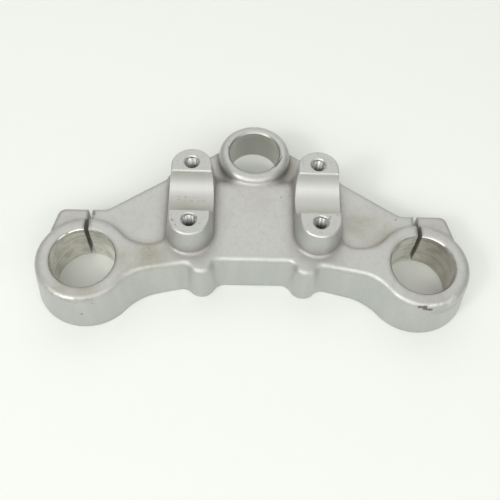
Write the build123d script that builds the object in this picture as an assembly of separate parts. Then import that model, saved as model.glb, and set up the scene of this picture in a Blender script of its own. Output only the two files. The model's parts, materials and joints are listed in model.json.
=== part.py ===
from build123d import *
import os
from math import radians, tan

# Steering stem and fork legs. The origin is on the stem axis, on the upper face of the stem boss.
stem_bore = 25.4
fork_bore = 31.0
fork_spacing = 163.0
fork_offset = 62.0

# Handlebar and the four M8 bolts of its caps.
bar_diameter = 22.2
bar_gap = 1.0
bar_back = 29.4
bar_bolt_row = 33.0
pedestal_spacing = 62.0
pedestal_width = 19.8
pedestal_length = 49.2
pedestal_draft = 6.0
tap_drill = 6.8
tap_countersink = 8.0
tap_depth = 24.0
drill_point = 118.0

# Heights above and below the deck, the level of the fork rings and the front beam.
boss_rise = 3.0
pedestal_rise = 15.5
web_drop = 4.5
clamp_height = 24.7
stem_length = 19.4
web_thickness = 10.9

# Plan of the rings and the front beam, from the fork line, at the deck.
ring_r = 22.4
front_wall = 0.0
arm_wall = -0.9
arm_slope = 0.18
lug_spacing = 50.6
lug_r = 6.0
lug_set = 1.0
lug_blend = 3.0
front_blend = 18.0
beam_rear = 9.2
rear_blend = 17.0
block_set = 1.5
block_rear = 20.0
block_blend = 9.5
bay_flat = 1.0

# How far the same outline flares out at the foot, where its hollows are fuller.
ring_flare = 2.7
front_flare = 1.0
arm_flare = 0.5
arm_foot_slope = 0.24
lug_flare = 0.9
lug_foot_blend = 6.0
front_foot_blend = 28.0
rear_foot_blend = 10.0

# Plan of the lower web with the pinch ears.
ear_rear = 29.9
ear_outside = 15.1
ear_inside = 8.0
ear_root_y = 8.0
ear_set = 0.3
ear_corner_r = 4.0
ear_inner_r = 8.0
web_peak = 17.9
web_tip = 8.0
web_draft = 2.0
web_edge_r = 1.0
post_ledge = 2.9
ledge_blend = 3.0

# Saddle between the pedestals, which falls from the deck to the web at their rear ends.
saddle_r = 11.0

# Stem boss.
boss_r = 18.2
boss_edge_r = 3.3

# Split clamps and their M8 pinch bolts.
slot_width = 2.2
pinch_back = 22.7
pinch_drop = 14.6
pinch_clearance = 8.5
pinch_spot = 14.0
pinch_reach = 14.5
pinch_thread = 15.0

# Tapped holes under the two front lugs, M6.
lug_drill = 5.0
lug_countersink = 6.2
lug_tap_depth = 16.0

# Hollow under the web, behind the rings and the beam.
hollow_wall = 4.0
ear_wall = 9.5
hollow_corner_r = 5.0
hollow_root_r = 3.0

# Edge rounding and machined chamfers.
deck_edge_r = 2.8
blend_r = 1.5
blend_share = 0.45
step_flat = 0.2
foot_chamfer = 0.6
pedestal_chamfer = 0.6
bore_chamfer = 0.7
seat_chamfer = 0.6

fork_x = fork_spacing / 2
fork_y = -fork_offset
lug_x = lug_spacing / 2
pedestal_x = pedestal_spacing / 2
deck_z = -boss_rise
web_z = deck_z - web_drop
foot_z = deck_z - clamp_height
seat_z = deck_z + pedestal_rise
ceiling_z = web_z - web_thickness
pinch_z = deck_z - pinch_drop
post_z = web_z - web_thickness / 2
post_deck_r = pedestal_width / 2 + pedestal_rise * tan(radians(pedestal_draft))
block_half = pedestal_x + post_deck_r - block_set
ear_outer_x = fork_x + ear_outside
ear_inner_x = fork_x - ear_inside
ear_root_x = fork_x + (ring_r**2 - ear_root_y**2) ** 0.5 - ear_set
pinch_spot_x = fork_x + pinch_reach
post_foot_r = pedestal_width / 2 + (seat_z - web_z) * tan(radians(pedestal_draft))
bar_y = fork_y + bar_back
post_end = bar_back + (pedestal_length - pedestal_width) / 2
valley = (pedestal_x**2 + (fork_offset - post_end) ** 2) ** 0.5 - post_foot_r - boss_r
blend_round = min(blend_r, blend_share * valley)
deck_round = min(deck_edge_r, web_drop - blend_round - step_flat)
both_sides = (-1, 1)


def fork_plane(z):
    """Plane at height z with its origin midway between the fork axes."""
    return Plane((0, fork_y, z))


def rounded(plan, corners):
    """Plan with each named corner rounded to its radius."""
    for x, y, radius in corners:
        plan = fillet(plan.vertices().sort_by_distance((x, y, 0))[0], radius)
    return plan


def clamp_plan(ring, wall, arm, slope, lug, lug_round, front_round, rear_round):
    """Outline of both rings, the beam between them and its two lugs."""
    arm_end = arm - slope * (fork_x - lug_x)
    block_round = min(block_blend, block_rear - beam_rear - bay_flat)
    bay = fork_x - block_half - block_round - bay_flat
    rear_round = min(rear_round, (bay**2 - ring**2 + beam_rear**2) / (2 * (ring - beam_rear)))
    half = make_face(
        Polyline(
            (0, wall),
            (lug_x, wall),
            (lug_x, arm),
            (fork_x, arm_end),
            (fork_x, beam_rear),
            (block_half, beam_rear),
            (block_half, block_rear),
            (0, block_rear),
            close=True,
        )
    )
    half += Pos(fork_x, 0) * Circle(ring)
    half += Pos(lug_x, -lug_set) * Circle(lug)
    half = rounded(
        half,
        [
            (fork_x - ring, arm_end, front_round),
            (fork_x - ring, beam_rear, rear_round),
            (block_half, beam_rear, block_round),
            (lug_x - lug, wall, lug_round),
            (lug_x + lug, arm, lug_round),
        ],
    )
    return half + mirror(half, about=Plane.YZ)


def deck_plan():
    """Outline of the clamps at the deck."""
    return clamp_plan(ring_r, front_wall, arm_wall, arm_slope, lug_r, lug_blend, front_blend, rear_blend)


def foot_plan():
    """Outline of the clamps at the foot."""
    return clamp_plan(
        ring_r + ring_flare,
        front_wall - front_flare,
        arm_wall - arm_flare,
        arm_foot_slope,
        lug_r + lug_flare,
        lug_foot_blend,
        front_foot_blend,
        rear_foot_blend,
    )


def clamps():
    """Fork rings and front beam, wider at the foot than at the deck."""
    deck = (fork_plane(deck_z) * deck_plan()).face()
    foot = (fork_plane(foot_z) * foot_plan()).face()
    body = loft([deck, foot], ruled=True)
    return fillet(body.faces().sort_by(Axis.Z)[-1].edges(), deck_round)


def web():
    """Lower plate with the pinch ears, from the fork rings back to the stem."""
    peak = fork_offset + web_peak
    tip = peak - web_tip * (peak - ear_rear) / ear_inner_x
    half = make_face(
        Polyline(
            (0, beam_rear),
            (fork_x, front_wall),
            (ear_root_x, ear_root_y),
            (ear_outer_x, ear_rear),
            (ear_inner_x, ear_rear),
            (web_tip, tip),
            (0, tip),
            close=True,
        )
    )
    half = rounded(half, [(ear_outer_x, ear_rear, ear_corner_r), (ear_inner_x, ear_rear, ear_inner_r)])
    post_centre = Vector(pedestal_x, post_end)
    ledge_r = post_foot_r + post_ledge
    half += Pos(post_centre) * Circle(ledge_r)
    corners = [v for v in half.vertices() if abs((Vector(v) - post_centre).length - ledge_r) < 0.01]
    half = fillet(corners, ledge_blend) if corners else half
    plan = half + mirror(half, about=Plane.YZ)
    body = extrude(fork_plane(web_z) * plan, foot_z - web_z, taper=-web_draft)
    body -= hollow_tool()
    return fillet(body.faces().sort_by(Axis.Z)[-1].edges(), web_edge_r)


def hollow_tool():
    """Shape of the hollow under the web, with round corners and a round root."""
    end = ear_inner_x - ear_wall
    front = block_rear + hollow_wall
    far = fork_offset + 2 * web_peak
    plan = Pos(0, front) * Rectangle(2 * end, far - front, align=(Align.CENTER, Align.MIN))
    plan = rounded(plan, [(side * end, front, hollow_corner_r) for side in both_sides])
    body = extrude(fork_plane(foot_z) * plan, ceiling_z - foot_z)
    return fillet(body.faces().sort_by(Axis.Z)[-1].edges(), hollow_root_r)


def saddle():
    """Floor between the pedestals, level with the deck in front and falling in an S to the web."""
    drop = web_drop / 2
    run = (saddle_r**2 - (saddle_r - drop) ** 2) ** 0.5
    start = fork_y + post_end + pedestal_width / 2 - 2 * run
    profile = Plane.YZ * make_face(
        [
            Line((fork_y + beam_rear, deck_z), (start, deck_z)),
            RadiusArc((start, deck_z), (start + run, deck_z - drop), saddle_r),
            RadiusArc((start + run, deck_z - drop), (start + 2 * run, web_z), -saddle_r),
            Line((start + 2 * run, web_z), (start + 2 * run, web_z - web_drop)),
            Line((start + 2 * run, web_z - web_drop), (fork_y + beam_rear, web_z - web_drop)),
            Line((fork_y + beam_rear, web_z - web_drop), (fork_y + beam_rear, deck_z)),
        ]
    )
    return extrude(profile, pedestal_x, both=True)


def pedestals():
    """Two drafted posts with round ends that carry the handlebar."""
    plan = SlotOverall(pedestal_length, pedestal_width, rotation=90)
    post = extrude(Plane((0, bar_y, seat_z)) * plan, post_z - seat_z, taper=-pedestal_draft)
    post = chamfer(post.faces().sort_by(Axis.Z)[-1].edges(), pedestal_chamfer)
    return [Pos(side * pedestal_x, 0, 0) * post for side in both_sides]


def stem_boss():
    """Round boss for the steering stem."""
    boss = Pos(0, 0, -stem_length / 2) * Cylinder(boss_r, stem_length)
    return fillet(boss.edges().sort_by(Axis.Z)[-1], boss_edge_r)


def blended(clamp, plate, floor, posts, boss):
    """All the bodies as one forging, with a round fillet wherever two of them meet on top."""
    body = clamp + plate + floor + posts[0] + posts[1] + boss
    joins = new_edges(clamp, plate, floor, *posts, boss, combined=body)
    return fillet([edge for edge in joins if edge.center().Z > ceiling_z + web_thickness / 4], blend_round)


def drilled(radius, depth, mouth):
    """Drilled hole that opens upward at the origin, with a countersunk mouth and a pointed end."""
    tip = radius / tan(radians(drill_point / 2))
    profile = make_face(
        Polyline(
            (0, 1),
            (mouth + 1, 1),
            (radius, radius - mouth),
            (radius, -depth),
            (0, -depth - tip),
            close=True,
        )
    )
    return revolve(Plane.XZ * profile, Axis.Z)


def through_bore(diameter, top, length):
    """Bore from top down through length, chamfered at both ends."""
    radius = diameter / 2
    wide = radius + 2 * bore_chamfer
    tool = Pos(0, 0, top - length / 2) * Cylinder(radius, length + 2)
    tool += Pos(0, 0, top) * Cone(radius, wide, 2 * bore_chamfer)
    tool += Pos(0, 0, top - length) * Cone(wide, radius, 2 * bore_chamfer)
    return tool


def fork_cut(side):
    """Fork bore, clamp slot and stepped pinch-bolt hole on one side."""
    bore = Pos(side * fork_x, fork_y, 0) * through_bore(fork_bore, deck_z, clamp_height)
    slot_end = 2 * ear_rear
    slot = Box(slot_width, slot_end, 2 * clamp_height, align=(Align.CENTER, Align.MIN, Align.CENTER))
    slot = Pos(side * fork_x, fork_y, foot_z) * slot
    clear = pinch_clearance / 2
    thread = Pos(0, 0, -pinch_reach) * drilled(tap_drill / 2, pinch_thread + slot_width / 2, tap_drill / 2)
    bolt = thread + Pos(0, 0, -pinch_reach / 2) * Cylinder(clear, pinch_reach)
    bolt += Cylinder(pinch_spot / 2, pinch_spot, align=(Align.CENTER, Align.CENTER, Align.MIN))
    bolt = Pos(side * pinch_spot_x, fork_y + pinch_back, pinch_z) * Rot(0, side * 90, 0) * bolt
    return bore + slot + bolt


def seat_cut():
    """Round seat for the handlebar across both pedestals, with its lips chamfered."""
    radius = bar_diameter / 2
    length = pedestal_spacing + 2 * pedestal_width
    lip = (radius**2 - bar_gap**2) ** 0.5
    tool = Pos(0, bar_y, seat_z + bar_gap) * Rot(0, 90, 0) * Cylinder(radius, length)
    wedge = make_face(
        Polyline(
            (-lip - seat_chamfer, 0),
            (lip + seat_chamfer, 0),
            (lip, -seat_chamfer),
            (-lip, -seat_chamfer),
            close=True,
        )
    )
    across = Plane((0, bar_y, seat_z), (0, 1, 0), (1, 0, 0))
    return tool + extrude(across * wedge, length / 2, both=True)


def bolt_cuts():
    """Four tapped holes for the bar caps and two under the lugs."""
    cap_hole = drilled(tap_drill / 2, tap_depth, tap_countersink / 2)
    lug_hole = Rot(180, 0, 0) * drilled(lug_drill / 2, lug_tap_depth, lug_countersink / 2)
    row = bar_bolt_row / 2
    caps = [Pos(x * pedestal_x, bar_y + y * row, seat_z) * cap_hole for x in both_sides for y in both_sides]
    lugs = [Pos(x * lug_x, fork_y - lug_set, foot_z) * lug_hole for x in both_sides]
    return caps + lugs


def triple_clamp():
    """The finished clamp: one forging with its machined bores, seat, slots and threads."""
    body = blended(clamps(), web(), saddle(), pedestals(), stem_boss())
    body = chamfer(body.faces().sort_by(Axis.Z)[0].edges(), foot_chamfer)
    body -= through_bore(stem_bore, 0, stem_length)
    body -= seat_cut()
    for side in both_sides:
        body -= fork_cut(side)
    for hole in bolt_cuts():
        body -= hole
    return body


os.makedirs("parts", exist_ok=True)
export_step(triple_clamp().solid(), "parts/triple_clamp.step")
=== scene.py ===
import json
import math

import bpy
from mathutils import Matrix, Quaternion, Vector


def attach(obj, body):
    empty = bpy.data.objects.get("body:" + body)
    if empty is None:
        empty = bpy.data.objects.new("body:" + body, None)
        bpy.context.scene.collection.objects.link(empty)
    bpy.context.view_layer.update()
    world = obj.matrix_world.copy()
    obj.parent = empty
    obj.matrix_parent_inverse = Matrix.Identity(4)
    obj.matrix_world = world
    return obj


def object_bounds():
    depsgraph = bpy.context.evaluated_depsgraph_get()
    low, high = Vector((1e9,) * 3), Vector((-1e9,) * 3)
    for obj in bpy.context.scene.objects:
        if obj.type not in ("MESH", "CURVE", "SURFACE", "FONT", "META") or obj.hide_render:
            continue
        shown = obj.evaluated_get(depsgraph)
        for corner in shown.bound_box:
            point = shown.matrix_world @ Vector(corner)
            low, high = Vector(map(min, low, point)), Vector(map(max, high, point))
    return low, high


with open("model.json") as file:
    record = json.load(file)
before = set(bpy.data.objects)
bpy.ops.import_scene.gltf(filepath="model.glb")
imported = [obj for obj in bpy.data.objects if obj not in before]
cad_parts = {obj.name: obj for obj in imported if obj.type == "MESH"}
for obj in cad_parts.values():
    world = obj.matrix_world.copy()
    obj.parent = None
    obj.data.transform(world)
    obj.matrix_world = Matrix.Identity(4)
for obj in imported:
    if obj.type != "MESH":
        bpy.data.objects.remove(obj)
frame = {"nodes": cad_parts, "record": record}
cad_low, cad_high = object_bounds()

# The clamp is one aluminium forging, bead blasted all over and then bored, faced and tapped.
# Years on a motorcycle have stained its skin, rubbed its edges bright and scuffed its bores.
clamp = frame["nodes"]["triple_clamp"]
mounts = {mount["name"]: mount for mount in frame["record"]["mounts"]}
mm = 0.001

# Sizes in millimetres; the pinch bolts lie halfway between the web and the foot
fork_x, fork_y, fork_z = (value / mm for value in mounts["fork_clamp_left"]["pos_m"])
fork_r = mounts["fork_clamp_left"]["dims"]["r_mm"]
fork_length = mounts["fork_clamp_left"]["dims"]["length_mm"]
stem_r = mounts["stem_bore"]["dims"]["r_mm"]
bar_y, bar_z = (value / mm for value in mounts["handlebar_seat"]["pos_m"][1:])
bar_r = mounts["handlebar_seat"]["dims"]["r_mm"]
cap_bolts = mounts["bar_cap_bolts"]["dims"]
pedestal_x = cap_bolts["spacing_x_mm"] / 2
bolt_reach = cap_bolts["spacing_y_mm"] / 2
hole_r = cap_bolts["hole_r_mm"]
pinch_x, _, pinch_z = (value / mm for value in mounts["pinch_thread_left"]["pos_m"])
pinch_length = mounts["pinch_thread_left"]["dims"]["length_mm"]
slot_half = fork_x - pinch_x - pinch_length / 2
bore_chamfer = 0.7
countersink = 0.6
deck_z = fork_z + fork_length / 2 + bore_chamfer
web_z = 2 * pinch_z - cad_low.z / mm
pedestal_z = cad_high.z / mm
pedestal_half = 9.9
below_holes_z = pedestal_z - 29

# Tones of the skin, of what has settled on it, and of what the tools and the wear have left
skin_tone = (0.60, 0.60, 0.57, 1)
wall_shade_tone = (0.535, 0.552, 0.53, 1)
beige_stain = (0.41, 0.40, 0.32, 1)
brown_dirt_and_shade = (0.27, 0.235, 0.185, 1)
rubbed_and_highlight_tone = (0.74, 0.74, 0.71, 1)
bored_tone = (0.80, 0.785, 0.715, 1)
stem_tone = (0.63, 0.635, 0.59, 1)
top_tone = (0.53, 0.53, 0.50, 1)
seat_tone = (0.65, 0.65, 0.62, 1)
grey_wear_and_shade_tone = (0.34, 0.34, 0.31, 1)
slot_tone = (0.50, 0.50, 0.45, 1)
nick_and_shade_tone = (0.20, 0.19, 0.155, 1)
scuff_tone = (0.88, 0.88, 0.86, 1)

# How rough each of them is
skin_rough = 0.50
edge_rough = 0.34
fork_rough = 0.14
stem_rough = 0.36
hole_rough = 0.45
seat_rough = 0.62
top_rough = 0.40
nick_rough = 0.70
scuff_rough = 0.30


class Wire:
    """A socket of a finish that takes part in sums, so that masks and tones read as formulas."""

    def __init__(self, tree, socket):
        self.tree = tree
        self.socket = socket

    @classmethod
    def node(cls, tree, kind, settings, inputs, output=0):
        """Adds a node, sets it up, then gives its sockets their values or links.

        The node at the end of a tree has no output, and so no wire to hand back.
        """
        made = tree.nodes.new(kind)
        for name, value in settings.items():
            setattr(made, name, value)
        for name, value in inputs.items():
            if isinstance(value, cls):
                tree.links.new(value.socket, made.inputs[name])
            else:
                made.inputs[name].default_value = value
        return cls(tree, made.outputs[output]) if made.outputs else None

    def math(self, operation, *others):
        terms = dict(enumerate((self, *others)))
        return Wire.node(self.tree, "ShaderNodeMath", {"operation": operation}, terms)

    def __add__(self, other):
        return self.math("ADD", other)

    __radd__ = __add__

    def __sub__(self, other):
        return self.math("SUBTRACT", other)

    def __rsub__(self, other):
        return self * -1 + other

    def __mul__(self, other):
        return self.math("MULTIPLY", other)

    __rmul__ = __mul__

    def __truediv__(self, other):
        return self.math("DIVIDE", other)

    def __pow__(self, other):
        return self.math("POWER", other)

    def __abs__(self):
        return self.math("ABSOLUTE")

    def at_least(self, low):
        return self.math("MAXIMUM", low)

    def held(self, low, high):
        return self.at_least(low).math("MINIMUM", high)


def rise(value, low, high):
    """Mask that goes from 0 at low to 1 at high."""
    settings = {"interpolation_type": "SMOOTHSTEP"}
    sockets = {"Value": value, "From Min": low, "From Max": high}
    return Wire.node(value.tree, "ShaderNodeMapRange", settings, sockets)


def fall(value, low, high):
    """Mask that goes from 1 at low to 0 at high."""
    return 1 - rise(value, low, high)


def length_of(*terms):
    """Length of the vector with these components."""
    return sum(term * term for term in terms) ** 0.5


def mix(mask, under, over):
    """Number that goes from under to over with the mask."""
    return mask * (over - under) + under


def tinted(mask, under, over):
    """Colour that goes from under to over with the mask."""
    sockets = {0: mask, 6: under, 7: over}
    return Wire.node(mask.tree, "ShaderNodeMix", {"data_type": "RGBA"}, sockets, 2)


def grain(place, size, detail=2.0, roughness=0.5):
    """Noise from 0 to 1 with lumps of about this size in millimetres."""
    sockets = {"Vector": place, "Scale": 1 / size, "Detail": detail, "Roughness": roughness}
    return Wire.node(place.tree, "ShaderNodeTexNoise", {}, sockets)


def stretched(place, across, along, up):
    """Place with each axis scaled, so that a grain on it runs in streaks."""
    sockets = {0: place, 1: (across, along, up)}
    return Wire.node(place.tree, "ShaderNodeVectorMath", {"operation": "MULTIPLY"}, sockets)


def place_in(tree):
    """Place on the piece in millimetres."""
    sockets = {0: Wire.node(tree, "ShaderNodeTexCoord", {}, {}, "Object"), "Scale": 1 / mm}
    return Wire.node(tree, "ShaderNodeVectorMath", {"operation": "SCALE"}, sockets)


def openness(tree, reach, **settings):
    """How open the surface lies to the air within this many millimetres, from 0 to 1."""
    settings = {"samples": 8, **settings}
    return Wire.node(tree, "ShaderNodeAmbientOcclusion", settings, {"Distance": reach * mm}, "AO")


forging = bpy.data.materials.new("satin_forging")
forging.use_nodes = True
tree = forging.node_tree
tree.nodes.clear()
place = place_in(tree)
x, y, z = (Wire.node(tree, "ShaderNodeSeparateXYZ", {}, {0: place}, axis) for axis in "XYZ")
facing = Wire.node(tree, "ShaderNodeNewGeometry", {}, {}, "Normal")
facing_up = Wire.node(tree, "ShaderNodeSeparateXYZ", {}, {0: facing}, "Z")


def away_from(start, end=None):
    """Distance in millimetres from a point, or from the straight line between two."""
    offsets = [axis - value for axis, value in zip((x, y, z), start)]
    if end is None:
        return length_of(*offsets)
    run = Vector(end) - Vector(start)
    along = sum(offset * step for offset, step in zip(offsets, run)) / run.length_squared
    along = along.held(0, 1)
    return length_of(*(offset - along * step for offset, step in zip(offsets, run)))


def marked(strokes, core, waver=0):
    """Mask of strokes, each with a start, an end or None, a reach in millimetres and a strength."""
    return sum(
        strength * fall(away_from(start, end) + reach * waver, core * reach, reach)
        for start, end, reach, strength in strokes
    )


# Where the tools have cut the forging
mask_edge = 0.1
rim_width = 0.4
top_skin = 0.04
from_fork = length_of(abs(x) - fork_x, y - fork_y)
from_stem = length_of(x, y)
from_bar = length_of(y - bar_y, z - bar_z)
from_hole = length_of(abs(x) - pedestal_x, abs(y - bar_y) - bolt_reach)
from_slot = abs(abs(x) - fork_x)
in_fork = fall(from_fork, fork_r + rim_width, fork_r + rim_width + mask_edge)
in_stem = fall(from_stem, stem_r + bore_chamfer - mask_edge, stem_r + bore_chamfer)
in_seat = fall(from_bar, bar_r + mask_edge, bar_r + 2 * mask_edge)
in_hole = fall(from_hole, hole_r + countersink, hole_r + countersink + mask_edge)
in_hole = in_hole * rise(z, below_holes_z, below_holes_z + 1)
in_slot = fall(from_slot, slot_half + mask_edge / 2, slot_half + mask_edge)
in_slot = in_slot * rise(y, fork_y, fork_y + 1)
on_top = rise(z, pedestal_z - 2 * top_skin, pedestal_z - top_skin)
machined = (in_fork + in_stem + in_seat + in_hole + in_slot + on_top).held(0, 1)
as_forged = 1 - machined

# Blasted skin: mottled, with painted shade on the walls and rubbed wear with painted highlights on
# its edges
mottle = grain(place, 16, 4, 0.6)
speckle = grain(place, 0.9, 3, 0.65)
on_wall = fall(facing_up, 0.25, 0.75)
# Painted shade: the walls take a darker, cooler tone than the tops.
tone = tinted(on_wall, skin_tone, wall_shade_tone)
rough = skin_rough + 0.10 * (mottle - 0.5)
on_edge = rise(facing_up, 0.30, 0.5) * fall(facing_up, 0.8, 0.95) * as_forged
# Rubbed wear mixed with painted highlight: bright specks on the surfaces that slope toward the
# front light.
rubbed_and_highlit = on_edge * rise(speckle, 0.50, 0.66) * rise(grain(place, 7), 0.42, 0.62)
tone = tinted(0.75 * rubbed_and_highlit, tone, rubbed_and_highlight_tone)
worn_edge = on_edge * rise(grain(place, 3.5, 3, 0.6), 0.36, 0.60)
rough = mix((0.5 * worn_edge + rubbed_and_highlit).held(0, 1), rough, edge_rough)

# Beige stains of oil, each with its place from above, its reach and its strength
broad_stains = (
    (-56, -63, 16, 1.0),
    (-46, -61, 13, 0.60),
    (-83, -79, 17, 0.85),
    (-62, -38, 12, 0.10),
    (60, -41, 17, 0.65),
    (50, -36, 11, 0.60),
    (88, -35, 16, 0.35),
    (82, -80, 14, 0.30),
    (0, -28, 14, 0.35),
    (-88, -35, 14, 0.30),
    (38, -60, 9, 0.35),
)
stained = sum(
    strength * fall(length_of(x - stain_x, y - stain_y), 0.2 * reach, reach)
    for stain_x, stain_y, reach, strength in broad_stains
)
patchy = rise(grain(place, 13, 4, 0.5), 0.10, 0.80)
stained = (stained * patchy).held(0, 1) * as_forged * (1 - on_wall)
tone = tinted(stained, tone, beige_stain)

# Brown road dirt with painted shade: darker and browner in every hollow, a painted dark line along
# the creases, and dirt and painted shade round the pedestals, with a painted shadow beside the boss
sheltered = openness(tree, 7, only_local=True)
creased = openness(tree, 2.4, only_local=True)
# Dirt and painted shade: the hollows are darkened and browned by how closed in they are.
hollow_dirt_and_shade = fall(sheltered, 0.45, 0.98) * mix(grain(place, 5, 4, 0.6), 0.35, 1.25)
tone = tinted(0.65 * hollow_dirt_and_shade.held(0, 1) * as_forged, tone, brown_dirt_and_shade)
# Painted shade: a thin dark line along the creases.
tone = tinted(0.55 * fall(creased, 0.55, 0.95) * as_forged, tone, brown_dirt_and_shade)
past_end = (abs(y - bar_y) - (bolt_reach - 2)).at_least(0)
from_pedestal = length_of(abs(x) - pedestal_x, past_end)
round_pedestal = fall(from_pedestal, pedestal_half, pedestal_half + 5)
round_pedestal = round_pedestal * fall(z, 0, 6) * rise(z, web_z - 2, web_z - 1)
# Painted shadow in the valley beside the boss, and dirt with painted shade round the feet of the
# pedestals.
shadow_beside_boss = (20, -5, -7)
soaked_and_shaded = 0.30 * round_pedestal * patchy + 0.45 * fall(away_from(shadow_beside_boss), 2, 9)
tone = tinted(soaked_and_shaded.held(0, 1) * as_forged, tone, brown_dirt_and_shade)

# Fine grain of the blasting, with soft upright bands of painted sheen on the walls
tone = tinted(0.13 * rise(speckle, 0.50, 0.75) * as_forged, tone, brown_dirt_and_shade)
tone = tinted(0.16 * fall(speckle, 0.30, 0.50) * as_forged, tone, rubbed_and_highlight_tone)
blotch = rise(grain(place, 3.2, 2, 0.5), 0.48, 0.70)
tone = tinted(0.15 * blotch * as_forged * (1 - on_wall), tone, beige_stain)
# Painted reflection: soft upright light bands on the walls.
wall_sheen_streaks = rise(grain(stretched(place, 1, 1, 0.1), 6, 1, 0.5), 0.40, 0.75)
tone = tinted(0.16 * wall_sheen_streaks * as_forged * on_wall, tone, rubbed_and_highlight_tone)

# Bores: turned bright, with level scuffs from the tubes that slid in them, browner in the left one
streaks = grain(stretched(place, 0.10, 0.10, 1.3), 2.2, 4, 0.65)
worn_patch = rise(grain(place, 7, 3, 0.6), 0.40, 0.66)
fork_tone = tinted(0.55 * worn_patch, bored_tone, grey_wear_and_shade_tone)
fork_tone = tinted(0.55 * rise(streaks, 0.48, 0.66), fork_tone, grey_wear_and_shade_tone)
below_rim = fall(z, deck_z - bore_chamfer - 0.5, deck_z - bore_chamfer)
in_left_fork = rise(x, fork_x - 4, fork_x + 10)
fork_tone = tinted(0.5 * below_rim * in_left_fork, fork_tone, brown_dirt_and_shade)
smudge = (92.4, -51.0, -18.5)
fork_tone = tinted(0.4 * fall(away_from(smudge), 1, 6), fork_tone, grey_wear_and_shade_tone)
tone = tinted(in_fork, tone, fork_tone)
rough = mix(in_fork, rough, fork_rough)

# The stem bore is duller, with a lighter band at its mouth and painted shade on its chamfer
band_z = -4.0
in_band = rise(z, band_z - 0.4, band_z + 0.4)
stem_band_and_shade = tinted(0.5 * in_band, stem_tone, bored_tone)
# Painted shade: the top of the bore, its chamfer, is darkened.
stem_band_and_shade = tinted(0.75 * rise(z, -1.2, -0.6), stem_band_and_shade, grey_wear_and_shade_tone)
tone = tinted(in_stem, tone, stem_band_and_shade)
rough = mix(in_stem, rough, stem_rough)

# The slots are sawn, and the drilled holes carry painted shade that darkens them with their depth
tone = tinted(in_slot, tone, slot_tone)
# Painted shade: darker the deeper the hole goes.
hole_depth_shade = tinted(fall(z, pedestal_z - 9, pedestal_z - 3), stem_tone, nick_and_shade_tone)
tone = tinted(in_hole, tone, hole_depth_shade)
rough = mix(in_hole, rough, hole_rough)

# Handlebar seat and pedestal tops: milled, then dulled and speckled under the caps; a painted
# highlight lightens the seat towards its left end
turned = rise(grain(stretched(place, 1, 0.05, 0.05), 0.9, 3, 0.6), 0.40, 0.68)
seat_finish_and_sheen = tinted(0.06 * turned, seat_tone, beige_stain)
seat_finish_and_sheen = tinted(0.5 * fall(y, bar_y - 3, bar_y + 5) * patchy, seat_finish_and_sheen, beige_stain)
# Painted highlight: the seat grows lighter towards its left end.
seat_finish_and_sheen = tinted(0.4 * rise(x, 0, 20), seat_finish_and_sheen, rubbed_and_highlight_tone)
tone = tinted(in_seat, tone, seat_finish_and_sheen)
rough = mix(in_seat, rough, seat_rough)
top_specks = rise(grain(place, 1.1, 3, 0.7), 0.58, 0.66)
tone = tinted(on_top, tone, tinted(0.6 * top_specks, top_tone, grey_wear_and_shade_tone))
rough = mix(on_top, rough, top_rough)

# Nicks: a deep one on the left ring's edge, scratches round the stem bore and small ones elsewhere
nicks = (
    ((77.2, -83.8, -4.4), (80.5, -83.8, -4.0), 0.8, 0.9),
    ((79.8, -84.4, -5.0), (83.0, -84.6, -5.6), 1.05, 0.9),
    ((-80.4, -33.6, -7.5), (-79.6, -35.0, -7.5), 0.9, 0.5),
    ((-80.7, -85.7, -15.6), None, 0.75, 0.7),
    ((-82.1, -83.8, -3.8), None, 0.6, 0.6),
    ((71.6, -34.4, -7.5), None, 0.6, 0.45),
    ((38.8, -44.9, 12.5), None, 0.4, 0.6),
    ((-50.2, -56.2, -3.0), None, 0.5, 0.5),
    ((14.1, -2.5, 0.0), (12.8, -5.4, 0.0), 0.45, 0.7),
    ((12.8, -5.4, 0.0), (10.9, -8.6, -0.1), 0.40, 0.8),
    ((-12.0, -5.7, -0.3), (-9.6, -9.1, -0.4), 0.40, 0.7),
    ((-3.6, 16.8, -0.7), None, 0.6, 0.6),
    ((1.8, 16.8, -0.7), None, 0.6, 0.7),
    ((-13.5, 3.3, 0.0), (-13.1, 1.2, 0.0), 0.35, 0.5),
    ((-37.1, -52.1, 12.5), None, 0.45, 0.7),
    ((-38.8, -49.2, 12.5), (-38.4, -50.2, 12.5), 0.4, 0.6),
    ((-27.4, -48.7, 12.3), (-27.6, -47.4, 12.3), 0.35, 0.6),
    ((34.6, -47.5, 12.5), (35.4, -46.8, 12.5), 0.35, 0.6),
    ((35.5, -45.8, 12.5), None, 0.4, 0.6),
    ((13.5, -25.4, -3.0), None, 0.5, 0.45),
)
ragged = 1.4 * (grain(place, 1.2, 3, 0.6) - 0.5)
nicked = marked(nicks, 0.6, ragged).held(0, 1)
tone = tinted(nicked, tone, nick_and_shade_tone)
rough = mix(nicked, rough, nick_rough)

# Pits in the right ring's edge and in the seat
pits = (
    ((-77.5, -84.0, -4.6), (-74.0, -83.5, -7.0), 2.4, 0.8),
    ((-90.0, -83.0, -5.0), (-82.0, -84.6, -5.2), 1.6, 0.6),
    ((-37.0, -30.9, 2.5), (-25.2, -32.2, 2.4), 2.4, 0.55),
)
pit_grain = rise(grain(stretched(place, 0.6, 1, 1), 0.9, 3, 0.6), 0.50, 0.66)
tone = tinted(marked(pits, 0.3) * pit_grain, tone, grey_wear_and_shade_tone)

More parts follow.
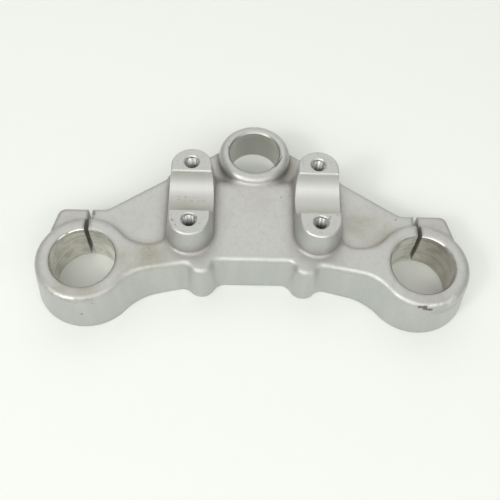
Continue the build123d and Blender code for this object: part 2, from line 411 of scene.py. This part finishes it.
# Bright scuffs along the front of both rings, and grey smears under the left one's edge
scuffs = (
    ((-95.2, -78.6, -3.5), (-92.0, -81.1, -3.7), 0.8, 0.35),
    ((-92.0, -81.1, -3.7), (-87.3, -82.9, -3.6), 0.9, 0.6),
    ((-87.3, -82.9, -3.6), (-82.4, -83.7, -3.7), 0.9, 0.5),
    ((82.8, -83.4, -3.5), (88.5, -82.5, -3.5), 1.2, 0.55),
    ((91.2, -81.4, -3.6), (94.0, -79.0, -3.3), 2.0, 0.6),
)
scuff_grain = rise(grain(stretched(place, 1, 0.2, 0.2), 0.7, 3, 0.6), 0.36, 0.56)
scuffed = (marked(scuffs, 0.3) * scuff_grain).held(0, 1)
tone = tinted(scuffed, tone, scuff_tone)
rough = mix(scuffed, rough, scuff_rough)
smears = (
    ((85.6, -84.7, -8.2), (91.5, -82.9, -9.4), 2.8, 0.22),
    ((91.5, -82.9, -9.4), (99.8, -76.2, -10.0), 3.0, 0.22),
)
tone = tinted(marked(smears, 0.4).held(0, 0.25), tone, grey_wear_and_shade_tone)

# Relief of the blasting, of the turning and of the nicks, over edges that the blasting has eased
eased_radius = 3.2
relief_depth = 0.12
height = as_forged * (0.9 * speckle + 0.7 * grain(place, 2.6))
height = height + 0.4 * in_fork * streaks - 2.5 * nicked
eased = Wire.node(tree, "ShaderNodeBevel", {"samples": 6}, {"Radius": eased_radius * mm})
crisp = (machined + rise(z, pedestal_z - 4, pedestal_z - 2.5)).held(0, 1)
sockets = {0: crisp, 4: eased, 5: facing}
eased = Wire.node(tree, "ShaderNodeMix", {"data_type": "VECTOR"}, sockets, 1)
sockets = {"Height": height, "Strength": 0.35, "Distance": relief_depth * mm, "Normal": eased}
normal = Wire.node(tree, "ShaderNodeBump", {}, sockets)
sockets = {"Base Color": tone, "Roughness": rough, "Metallic": 0.8, "Normal": normal}
metal = Wire.node(tree, "ShaderNodeBsdfPrincipled", {}, sockets)
Wire.node(tree, "ShaderNodeOutputMaterial", {}, {"Surface": metal})

clamp.material_slots[0].link = "OBJECT"
clamp.material_slots[0].material = forging

# Its faces run smoothly into each other up to this angle, and meet in a line beyond it
sharp_angle = math.radians(32)
shading = bpy.data.node_groups.new("smooth_by_angle", "GeometryNodeTree")
for way in ("INPUT", "OUTPUT"):
    shading.interface.new_socket("Geometry", in_out=way, socket_type="NodeSocketGeometry")
bare = Wire.node(shading, "NodeGroupInput", {}, {})
bend = Wire.node(shading, "GeometryNodeInputMeshEdgeAngle", {}, {})
sockets = {0: bend, 1: sharp_angle}
is_sharp = Wire.node(shading, "FunctionNodeCompare", {"operation": "GREATER_THAN"}, sockets)
sockets = {"Geometry": bare, "Shade Smooth": True}
smooth = Wire.node(shading, "GeometryNodeSetShadeSmooth", {"domain": "FACE"}, sockets)
sockets = {"Geometry": smooth, "Selection": is_sharp, "Shade Smooth": False}
edged = Wire.node(shading, "GeometryNodeSetShadeSmooth", {"domain": "EDGE"}, sockets)
Wire.node(shading, "NodeGroupOutput", {}, {"Geometry": edged})
clamp.modifiers.new("smooth_by_angle", "NODES").node_group = shading

# Threads are cut by taps in the drilled holes: M8 for the handlebar caps and the pinch bolts,
# M6 in the lugs. Each is modelled as the ridge that stands between the turns of the tap,
# seated in the wall of its hole.
m8_pitch = 1.25
m6_pitch = 1.0
cap_thread_length = 20
pinch_thread_length = 13
lug_thread_length = 12
mouth_inset = 0.8
thread_glint_tone = (0.84, 0.84, 0.82, 1)
dull_tone = (0.36, 0.36, 0.35, 1)

cut_thread = bpy.data.materials.new("cut_thread")
cut_thread.use_nodes = True
cut_tree = cut_thread.node_tree
cut_tree.nodes.clear()
# Painted glints: bright upright streaks on the threads.
glint_streaks = grain(stretched(place_in(cut_tree), 1, 0.4, 0.08), 1.0, 2, 0.6)
thread_glint_and_shade_colour = tinted(rise(glint_streaks, 0.46, 0.60), dull_tone, thread_glint_tone)
# Painted shade: the thread darkens where it lies deep and closed in.
thread_glint_and_shade_colour = tinted(fall(openness(cut_tree, 12), 0.03, 0.16), thread_glint_and_shade_colour, nick_and_shade_tone)
sockets = {"Base Color": thread_glint_and_shade_colour, "Metallic": 0.7, "Roughness": 0.45}
cut_metal = Wire.node(cut_tree, "ShaderNodeBsdfPrincipled", {}, sockets)
Wire.node(cut_tree, "ShaderNodeOutputMaterial", {}, {"Surface": cut_metal})


def thread(name, mouth, inward, hole_radius, pitch, length):
    """Ridge of a tapped hole that starts at its mouth and runs inward, in millimetres."""
    steps_a_turn = 36
    ridge_height = 0.40 * pitch
    ridge_half = 0.37 * pitch
    ridge_sink = 0.06
    lead_in = 1 / 3
    least_height = 0.02
    turn = Vector((0, 0, 1)).rotation_difference(Vector(inward)).to_matrix().to_4x4()
    to_hole = Matrix.Translation(Vector(mouth)) @ turn
    section = ((0, -ridge_half), (ridge_height, 0), (0, ridge_half))
    count = int(length / pitch * steps_a_turn) + 1
    points = []
    for step in range(count):
        turns = step / steps_a_turn
        turns_left = (count - 1 - step) / steps_a_turn
        angle = -2 * math.pi * turns
        full_height = max(min(1, turns / lead_in, turns_left), least_height)
        for inset, shift in section:
            radius = hole_radius + ridge_sink - (inset + ridge_sink) * full_height
            across, along = radius * math.cos(angle), radius * math.sin(angle)
            points.append(to_hole @ Vector((across, along, pitch * turns + shift)) * mm)
    last = 3 * (count - 1)
    faces = [(0, 1, 2), (last + 2, last + 1, last)]
    for first in range(0, last, 3):
        ahead = first + 3
        for corner in range(3):
            following = (corner + 1) % 3
            faces.append((ahead + corner, ahead + following, first + following, first + corner))
    mesh = bpy.data.meshes.new(name)
    mesh.from_pydata(points, [], faces)
    mesh.shade_smooth()
    mesh.set_sharp_from_angle(angle=math.radians(40))
    mesh.materials.append(cut_thread)
    piece = bpy.data.objects.new(name, mesh)
    bpy.context.scene.collection.objects.link(piece)
    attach(piece, "root")


cap_ends = [(side, end) for side in (-1, 1) for end in (-1, 1)]
for number, (side, end) in enumerate(cap_ends, 1):
    mouth = (side * pedestal_x, bar_y + end * bolt_reach, pedestal_z - mouth_inset)
    thread(f"cap_thread_{number}", mouth, (0, 0, -1), hole_r, m8_pitch, cap_thread_length)

for side in ("left", "right"):
    pinch = mounts[f"pinch_thread_{side}"]
    axis = Vector(pinch["axis"])
    mouth = Vector(pinch["pos_m"]) / mm + axis * (pinch["dims"]["length_mm"] / 2 - mouth_inset)
    pinch_r = pinch["dims"]["r_mm"]
    thread(f"pinch_thread_{side}", mouth, -axis, pinch_r, m8_pitch, pinch_thread_length)

lugs = mounts["lug_threads"]
for side, way in (("left", 1), ("right", -1)):
    from_middle = Vector((way * lugs["dims"]["spacing_x_mm"] / 2, 0, 0))
    mouth = Vector(lugs["pos_m"]) / mm + from_middle
    lug_r = lugs["dims"]["hole_r_mm"]
    thread(f"lug_thread_{side}", mouth, -Vector(lugs["axis"]), lug_r, m6_pitch, lug_thread_length)

# The floor is a pale matt sheet that the clamp lies on.
# It is wide enough to fill the view, and is not part of the clamp.
floor_tone = (0.925, 0.945, 0.895, 1)
floor_width = 6.0
bpy.ops.mesh.primitive_plane_add(size=floor_width, location=(0, 0, cad_low.z))
floor = bpy.context.object
floor.name = "floor"
floor_finish = bpy.data.materials.new("floor_sheet")
floor_finish.use_nodes = True
floor_shader = floor_finish.node_tree.nodes["Principled BSDF"]
floor_shader.inputs["Base Color"].default_value = floor_tone
floor_shader.inputs["Roughness"].default_value = 0.9
floor_shader.inputs["Specular IOR Level"].default_value = 0.1
floor.data.materials.append(floor_finish)

# Soft studio light: a dim room that brightens upward, and five softboxes. A wide one stands above
# the camera and two small ones beside it, which draw the edges; the deck mirrors the wide one
# high at the rear, and the low one behind it lights the rear slopes.
low_room = (0.31, 0.31, 0.307, 1)
high_room = (0.44, 0.44, 0.436, 1)
world = bpy.data.worlds.new("studio")
world.use_nodes = True
room = world.node_tree
toward = Wire.node(room, "ShaderNodeTexCoord", {}, {}, "Generated")
upward = Wire.node(room, "ShaderNodeSeparateXYZ", {}, {0: toward}, "Z")
glow = tinted(rise(upward, 0.05, 0.75), low_room, high_room)
room.links.new(glow.socket, room.nodes["Background"].inputs["Color"])
bpy.context.scene.world = world


def softbox(name, where, width, depth, radiance):
    """Area light that faces the clamp and looks this bright in a mirror."""
    lamp = bpy.data.lights.new(name, "AREA")
    lamp.shape = "RECTANGLE"
    lamp.size = width
    lamp.size_y = depth
    lamp.energy = math.pi * width * depth * radiance
    lamp_object = bpy.data.objects.new(name, lamp)
    lamp_object.location = where
    lamp_object.rotation_mode = "QUATERNION"
    lamp_object.rotation_quaternion = (-Vector(where)).to_track_quat("-Z", "Y")
    bpy.context.scene.collection.objects.link(lamp_object)


softbox("front_softbox", (-0.20, -1.00, 1.12), 2.1, 1.0, 1.90)
softbox("left_softbox", (-0.80, -0.75, 1.00), 0.22, 0.22, 18)
softbox("right_softbox", (0.95, -0.70, 0.90), 0.5, 0.5, 1.6)
softbox("rear_softbox", (0, 0.85, 1.36), 1.9, 1.2, 0.80)
softbox("low_softbox", (0.2, 1.90, 0.42), 1.8, 0.5, 0.7)

# The camera stands in front of the clamp and looks down on it.
# It is turned a little about its own axis.
eye = Vector((-10.02, -225.30, 297.21)) * mm
aim = Vector((-1.85, -56.12, -3.0)) * mm
roll = math.radians(3.66)
camera_data = bpy.data.cameras.new("camera")
camera_data.sensor_width = 36
camera_data.lens = 51.66
camera_data.clip_start = 0.01
camera = bpy.data.objects.new("camera", camera_data)
camera.location = eye
camera.rotation_mode = "QUATERNION"
camera.rotation_quaternion = (aim - eye).to_track_quat("-Z", "Y") @ Quaternion((0, 0, 1), roll)
bpy.context.scene.collection.objects.link(camera)
bpy.context.scene.camera = camera
bpy.context.scene.view_settings.view_transform = "Standard"
